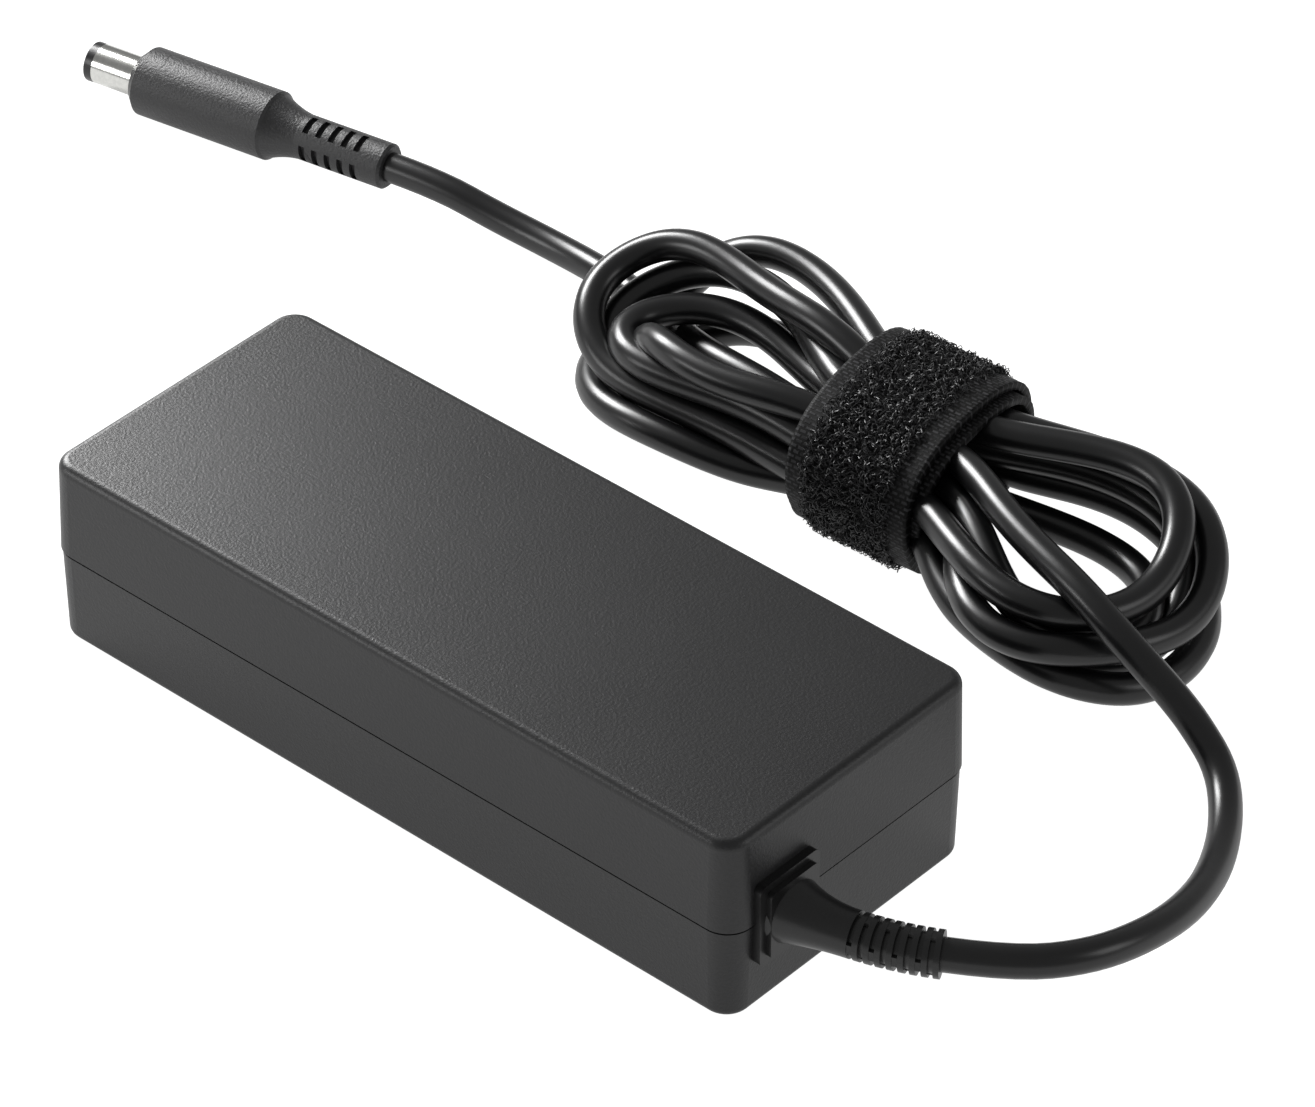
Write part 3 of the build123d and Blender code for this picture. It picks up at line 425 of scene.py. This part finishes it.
# %% Finishes inside
INNER_FINISHES = {
    "fr4_solder_mask_green": (("#0d3a1c", "#164d27", (0.3, 0.4), 1.2, 0.01), ["circuit_board"]),
    "aluminium_rolled_sheet": (("#a9abad", "#c3c5c7", (0.3, 0.42), 0.8, 0.006, 1.0),
                               ["heat_spreader_lower", "heat_spreader_upper"]),
    "aluminium_bare_plate": (("#9fa1a3", "#b9bbbd", (0.34, 0.46), 0.9, 0.01, 1.0),
                             ["primary_heatsink", "secondary_heatsink"]),
    "polyester_insulating_film": (("#101011", "#1a1a1b", (0.25, 0.32), 1.5, 0.004), ["insulating_sheet"]),
    "ferrite_sintered": (("#2c2d30", "#3d3e42", (0.5, 0.62), 0.3, 0.015),
                         ["transformer_core", "pfc_inductor_core", "common_mode_core", "output_choke"]),
    "phenolic_bobbin": (("#15130f", "#221f19", (0.4, 0.5), 0.8, 0.008),
                        ["transformer_bobbin", "pfc_inductor_bobbin"]),
    "polyester_tape_yellow": (("#b88a12", "#d3a522", (0.22, 0.32), 2.5, 0.02),
                              ["transformer_windings", "pfc_inductor_windings"]),
    "copper_enamelled": (("#8a4a22", "#b5682f", (0.2, 0.32), 0.7, 0.05, 1.0), ["common_mode_windings"]),
    "film_capacitor_epoxy": (("#a8821a", "#c79c27", (0.3, 0.38), 0.9, 0.006), ["x_capacitor"]),
    "pvc_shrink_sleeve": (("#10131f", "#1a1f30", (0.2, 0.28), 1.2, 0.006),
                          ["bulk_capacitor", "output_capacitors"]),
    "epoxy_dipped_blue": (("#123a78", "#1c4b93", (0.25, 0.35), 0.9, 0.02), ["y_capacitors", "varistor"]),
    "epoxy_moulded_package": (("#141414", "#232323", (0.45, 0.55), 0.25, 0.01),
                              ["switching_transistor", "output_rectifier", "bridge_rectifier", "optocoupler",
                               "controller_chip", "fuse", "thermistor"]),
    "steel_zinc_plated": (("#8f9294", "#b2b4b5", (0.28, 0.4), 0.5, 0.006, 1.0), ["heatsink_screws"]),
    "copper_tinned": (("#a5a49f", "#c4c3be", (0.25, 0.35), 0.4, 0.004, 1.0), ["ac_leads"]),
    "pvc_wire_red": (("#5d0c0c", "#7c1414", (0.3, 0.4), 1.0, 0.006), ["dc_leads"]),
}
SHOWN_FINISHES = [
    (shell_plastic, ["upper_case", "lower_case"]),
    (boot_pvc, ["cable_boot"]),
    (grip_pvc, ["plug_grip"]),
    (barrel_nickel, ["plug_barrel", "plug_centre_pin", "inlet_pin_line", "inlet_pin_neutral", "inlet_pin_earth"]),
    (insulator_pbt, ["plug_tip_ring", "plug_lining", "plug_base"]),
    (inlet_nylon, ["ac_inlet_body"]),
    (label_film, ["rating_label"]),
]


def give_finish(node, material):
    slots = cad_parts[node].data.materials
    slots.clear()
    slots.append(material)


for material, nodes in SHOWN_FINISHES:
    for node in nodes:
        give_finish(node, material)
for name, (recipe, nodes) in INNER_FINISHES.items():
    material = moulded(name, *recipe)
    for node in nodes:
        give_finish(node, material)
cord.data.materials.append(jacket_pvc)

# %% [markdown]
# ## The hook-and-loop strap
# The strap is a woven tape, wound twice round the hank. Its outer face is a pile of fine nylon loops between two
# smooth woven edges, and a ragged end sticks out at the bottom. The tape is one sheet, wrapped by a formula, and
# the pile is a few thousand small loops of thread set on it.

# %% Strap sizes
TAPE_MM = 1.25                 # thickness of one layer
INNER_INSET_MM, OUTER_INSET_MM = 2.2, 0.65
INNER_SHIFT_MM = 1.5           # the inner turn peeks out on the right
SELVEDGE_MM = (3.0, 3.6)       # woven edge, left and right
SQUARENESS = 2.5               # power of the superellipse, 2 is an ellipse
TAPE_SKEW = -0.09              # it isn't wrapped quite square: its far side lies further left
START_ANGLE, END_ANGLE = math.radians(-100), math.radians(600)
END_LIFT_MM, END_LIFT_ANGLE = 1.8, 0.7  # the free end stands off over its last stretch, in radians
LOWEST_MM = 0.7                # the tape's middle stays this far above the table
LAP_START, LAP_END = math.radians(250), math.radians(300)
TAPE_STEPS, TAPE_ROWS = 300, 36
STRAP_MIDDLE_MM = TIE_OUTER_MM[1] / 2


def strap_section(angle, inset):
    """Across and up, on the strap's outline, at an angle from the far side."""
    c, s = math.cos(angle), math.sin(angle)
    power = 2 / SQUARENESS
    across = (TIE_OUTER_MM[0] / 2 - inset) * math.copysign(abs(c) ** power, c)
    up = (STRAP_MIDDLE_MM - inset) * math.copysign(abs(s) ** power, s)
    return Vector((across, STRAP_MIDDLE_MM + up))


def tape_inset(angle):
    lap = float(eased((angle - LAP_START) / (LAP_END - LAP_START)))
    lift = float(eased((angle - END_ANGLE + END_LIFT_ANGLE) / END_LIFT_ANGLE))
    return INNER_INSET_MM + (OUTER_INSET_MM - INNER_INSET_MM) * lap - END_LIFT_MM * lift


def tape_angles():
    """Angles that are evenly spaced along the tape, because the corners are passed slowly."""
    angles = np.linspace(START_ANGLE, END_ANGLE, 4000)
    places = np.array([strap_section(a, tape_inset(a)) for a in angles])
    along = np.concatenate([[0], np.cumsum(np.linalg.norm(np.diff(places, axis=0), axis=1))])
    even = np.linspace(0, along[-1], TAPE_STEPS + 1)
    return np.interp(even, along, angles), along[-1]


ANGLES, TAPE_LENGTH_MM = tape_angles()
print("tape length, mm", round(TAPE_LENGTH_MM, 1))


def tape_point(step, along_hank, lift=0.0):
    """A point of the tape, in the hank's own millimetres, with a lift off its face."""
    angle = ANGLES[step]
    before, after = (strap_section(a, tape_inset(a)) for a in (angle - 0.01, angle + 0.01))
    place = strap_section(angle, tape_inset(angle) + TAPE_MM / 2)
    tangent = (after - before).normalized()
    outward = Vector((tangent.y, -tangent.x))
    place += outward * lift
    shift = INNER_SHIFT_MM * (1 - float(eased((angle - LAP_START) / (LAP_END - LAP_START))))
    shift += TAPE_SKEW * (place.x + TIE_OUTER_MM[0] / 2)
    return Vector((along_hank + shift, place.x, max(place.y, LOWEST_MM))), Vector((0, outward.x, outward.y))


def make_strap():
    bpy.ops.object.select_all(action="DESELECT")
    bpy.ops.mesh.primitive_grid_add(x_subdivisions=TAPE_ROWS, y_subdivisions=TAPE_STEPS, size=2, calc_uvs=True)
    strap = bpy.context.object
    strap.name = "tie_strap"
    rng = random.Random(4)
    ragged = [rng.uniform(-1.3, 0.6) for _ in range(TAPE_ROWS + 1)]
    for vertex in strap.data.vertices:
        step = round((vertex.co.y + 1) / 2 * TAPE_STEPS)
        row = round((vertex.co.x + 1) / 2 * TAPE_ROWS)
        along_hank = vertex.co.x * TIE_HALF_MM
        place, outward = tape_point(step, along_hank, rng.uniform(-0.05, 0.05))
        if step == TAPE_STEPS:
            place.y += ragged[row] * 0.6
            place.x += ragged[row] * 0.2
        vertex.co = Vector(from_tie([place])[0]) * MM
    uv = strap.data.uv_layers.active.data
    for loop in uv:
        loop.uv = (loop.uv[0] * 2 * TIE_HALF_MM * MM, loop.uv[1] * TAPE_LENGTH_MM * MM)
    solid = strap.modifiers.new("thickness", "SOLIDIFY")
    solid.thickness = TAPE_MM * MM
    solid.offset = 0
    bpy.ops.object.modifier_apply(modifier="thickness")
    bpy.ops.object.shade_smooth()
    return strap


strap = make_strap()

# %% The pile of loops
PILE_LOOPS = 5400
THREAD_RADIUS_MM = 0.075       # drawn thicker than a real filament, so that it shows
LOOP_SEGMENTS = 6


def add_loop(verts, faces, foot, outward, lean, height, spread):
    """A small arch of thread, three-sided, as a few rings of points."""
    first = len(verts)
    for i in range(LOOP_SEGMENTS + 1):
        angle = math.pi * i / LOOP_SEGMENTS
        centre = foot + outward * (height * math.sin(angle)) + lean * (spread * math.cos(angle))
        forward = (outward * (height * math.cos(angle)) - lean * (spread * math.sin(angle))).normalized()
        side = forward.cross(outward.cross(lean)).normalized()
        other = forward.cross(side)
        for k in range(3):
            turn = 2 * math.pi * k / 3
            verts.append(centre + (side * math.cos(turn) + other * math.sin(turn)) * THREAD_RADIUS_MM)
    for i in range(LOOP_SEGMENTS):
        for k in range(3):
            a, b = first + 3 * i + k, first + 3 * i + (k + 1) % 3
            faces.append((a, b, b + 3, a + 3))


def make_pile():
    rng = random.Random(11)
    verts, faces = [], []
    first_outer = int(np.searchsorted(ANGLES, LAP_END))
    left, right = SELVEDGE_MM
    for _ in range(PILE_LOOPS):
        step = rng.randint(first_outer, TAPE_STEPS - 1)
        along_hank = rng.uniform(-TIE_HALF_MM + left, TIE_HALF_MM - right)
        foot, outward = tape_point(step, along_hank, TAPE_MM / 2 - 0.15)
        tilt = Vector((rng.uniform(-1, 1), rng.uniform(-1, 1), rng.uniform(-1, 1))) * 0.75
        outward = (outward + tilt).normalized()
        lean = outward.cross(Vector((rng.uniform(-1, 1), rng.uniform(-1, 1), rng.uniform(-1, 1)))).normalized()
        add_loop(verts, faces, foot, outward, lean, rng.uniform(0.5, 1.5), rng.uniform(0.3, 0.9))
    verts = from_tie([tuple(v) for v in verts])
    verts[:, 2] = np.maximum(verts[:, 2], 0.05)
    mesh = bpy.data.meshes.new("tie_pile")
    mesh.from_pydata([tuple(v) for v in verts * MM], [], faces)
    pile = bpy.data.objects.new("tie_pile", mesh)
    bpy.context.scene.collection.objects.link(pile)
    return pile


pile = make_pile()
print("pile triangles", 2 * len(pile.data.polygons))

# %% [markdown]
# ### Finish of the strap
# Black nylon. The woven edges show as rows of short light floats, 1.3 mm long and 0.75 mm apart, which a
# brick pattern on the tape's own UV map draws. Between them the ground of the pile is a dull, uneven felt.

# %% Strap finish
FLOAT_LENGTH, ROW_PITCH, FLOAT_GAP = 0.0013, 0.00075, 0.00022


def woven_tape():
    material, tree = new_material("nylon_woven_tape")
    place = add_node(tree, "TexCoord").outputs["UV"]
    floats = add_node(
        tree, "TexBrick", {"offset": 0.5}, Vector=place, Color1=linear("#3c3c3e"), Color2=linear("#19191a"),
        Mortar=linear("#020202"), Scale=1.0, Mortar_Size=FLOAT_GAP, Mortar_Smooth=0.3,
        Brick_Width=FLOAT_LENGTH, Row_Height=ROW_PITCH)
    height = between(tree, floats.outputs["Fac"], 1.0, 0.0)
    finish_surface(
        tree, Base_Color=floats.outputs["Color"], Roughness=0.6, Normal=bumped(tree, height, 0.15),
        Specular_IOR_Level=0.2)
    return material


def nylon_thread():
    material, tree = new_material("nylon_loop_pile")
    shade = noise(tree, 0.6, 1.0)
    finish_surface(
        tree, Base_Color=two_colours(tree, shade, "#060606", "#38383a"),
        Roughness=between(tree, shade, 0.35, 0.55))
    return material


strap.data.materials.append(woven_tape())
pile.data.materials.append(nylon_thread())

# %% [markdown]
# ## Table and light
# A white table and three large soft lamps: the main one stands behind the brick on the left and lies as a broad
# sheen on the top, a second one lights the front, and a third draws the rim lines on the cord. The
# table also glows: full white to the camera, and less to everything else.

# %% Table and lights
def make_table():
    bpy.ops.object.select_all(action="DESELECT")
    bpy.ops.mesh.primitive_plane_add(size=12, location=(0, 0, 0))
    table = bpy.context.object
    table.name = "table"
    material, tree = new_material("white_laminate_table")
    grain = noise(tree, 3.0, 2.0)
    glow = between(tree, add_node(tree, "LightPath").outputs["Is Camera Ray"], 0.65, 1.0)
    finish_surface(
        tree, Base_Color=two_colours(tree, grain, "#8c8c8c", "#949494"), Roughness=0.8, Specular_IOR_Level=0.0,
        Emission_Color=linear("#ffffff"), Emission_Strength=glow)
    table.data.materials.append(material)


def make_lamp(name, place, target, size, radiance):
    """A soft rectangular lamp that looks at the target; radiance is its brightness against white paper."""
    lamp = bpy.data.objects.new(name, bpy.data.lights.new(name, "AREA"))
    lamp.data.shape = "RECTANGLE"
    lamp.data.size, lamp.data.size_y = size
    lamp.data.energy = radiance * math.pi * size[0] * size[1]
    lamp.location = place
    aim = (Vector(target) - Vector(place)).normalized()
    lamp.rotation_mode = "QUATERNION"
    lamp.rotation_quaternion = aim.to_track_quat("-Z", "Y")
    lamp.visible_camera = False
    bpy.context.scene.collection.objects.link(lamp)


make_table()
make_lamp("main_lamp", (-0.42, 0.12, 0.27), (-0.08, -0.02, 0.03), (0.2, 0.16), 33.0)
make_lamp("front_lamp", (-0.32, -0.34, 0.16), (-0.06, -0.03, 0.01), (0.2, 0.16), 6.0)
make_lamp("rim_lamp", (0.9, 0.5, 0.45), (0.05, 0.05, 0), (0.5, 0.4), 2.0)
world = bpy.data.worlds.new("studio")
world.use_nodes = True
world.node_tree.nodes["Background"].inputs["Color"].default_value = linear("#ffffff")
world.node_tree.nodes["Background"].inputs["Strength"].default_value = 0.3
bpy.context.scene.world = world
bpy.context.scene.view_settings.view_transform = "Standard"

# %% [markdown]
# ## Joining everything to the frame
# Each new piece rides on the one body, and the CAD solids that it stands for are hidden. The length given is that
# of the line before it was smoothed; the drawn cord is about 4 cm shorter.

# %% Pieces on the body
for piece, slot, stands_for in (
    (cord, "cord_jacket", ("cord_brick_lead", "cord_hank", "cord_plug_lead")),
    (strap, "tie_webbing", ("cable_tie",)),
    (pile, "tie_webbing", ()),
):
    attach(piece, "root")
    if stands_for:
        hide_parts(*stands_for)
